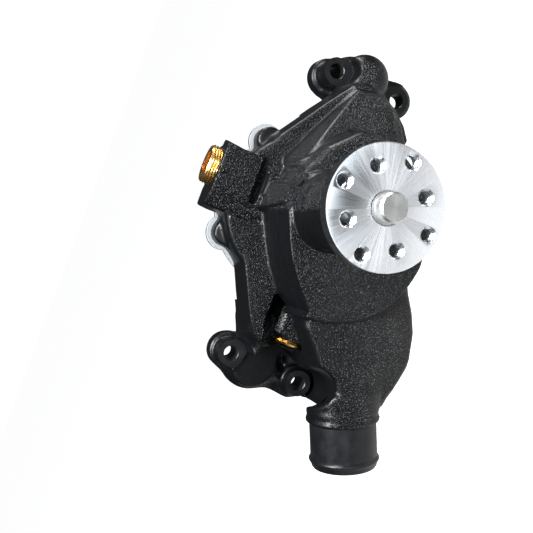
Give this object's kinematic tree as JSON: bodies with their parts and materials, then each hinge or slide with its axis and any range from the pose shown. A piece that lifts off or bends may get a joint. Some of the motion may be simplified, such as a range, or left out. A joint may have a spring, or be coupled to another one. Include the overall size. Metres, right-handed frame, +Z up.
{
  "type": "water pump",
  "caption": "Engine coolant pump: cast housing on two block feet, angled hose neck, threaded side ports and a turning shaft with a drilled pulley hub.",
  "frame": {"origin": "point where the shaft axis meets the plane of the two block feet", "axes": "-Y along the shaft towards the pulley hub, +Z up on the engine, +X towards the driver-side foot"},
  "size_m": [0.2879, 0.186, 0.1724],
  "materials": {
    "black_casting": "satin",
    "zinc_plate": "satin",
    "gasket_paper": "matte",
    "zinc_screw": "satin",
    "brass": "satin",
    "ground_steel": "satin",
    "turned_aluminium": "satin",
    "bearing_steel": "gloss",
    "cage_brass": "satin",
    "seal_rubber": "matte",
    "spring_steel": "satin",
    "carbon": "matte",
    "ceramic": "gloss",
    "raw_iron": "matte"
  },
  "bodies": {
    "pump_body": {"housing": "black_casting", "rear_cover": "zinc_plate", "cover_gasket": "gasket_paper", "cover_screws": "zinc_screw", "heater_port_plug": "brass", "bypass_port_plug": "brass", "driver_block_gasket": "gasket_paper", "passenger_block_gasket": "gasket_paper", "bearing_outer_race": "bearing_steel", "front_bearing_seal": "seal_rubber", "rear_bearing_seal": "seal_rubber", "seal_cup": "brass", "seal_bellows": "seal_rubber", "seal_spring": "spring_steel", "seal_face_ring": "carbon"},
    "rotor": {"pump_shaft": "ground_steel", "pulley_hub": "turned_aluminium", "slinger_ring": "zinc_plate", "seal_seat": "ceramic", "seal_seat_boot": "seal_rubber", "impeller": "raw_iron"},
    "ball_row": {"front_bearing_balls": "bearing_steel", "front_ball_cage": "cage_brass"},
    "roller_row": {"rear_bearing_rollers": "bearing_steel", "rear_roller_cage": "cage_brass"}
  },
  "joints": [
    {"name": "shaft_spin", "type": "hinge", "parent": "pump_body", "child": "rotor", "pos_m": [0, -0.1, 0], "axis": [0, -1, 0], "continuous": true},
    {"name": "ball_row_spin", "type": "hinge", "parent": "pump_body", "child": "ball_row", "pos_m": [0, -0.138, 0], "axis": [0, -1, 0], "continuous": true},
    {"name": "roller_row_spin", "type": "hinge", "parent": "pump_body", "child": "roller_row", "pos_m": [0, -0.117, 0], "axis": [0, -1, 0], "continuous": true}
  ],
  "couplings": [
    {"joint": "ball_row_spin", "follows": "shaft_spin", "ratio": 0.3603},
    {"joint": "roller_row_spin", "follows": "shaft_spin", "ratio": 0.3557}
  ]
}
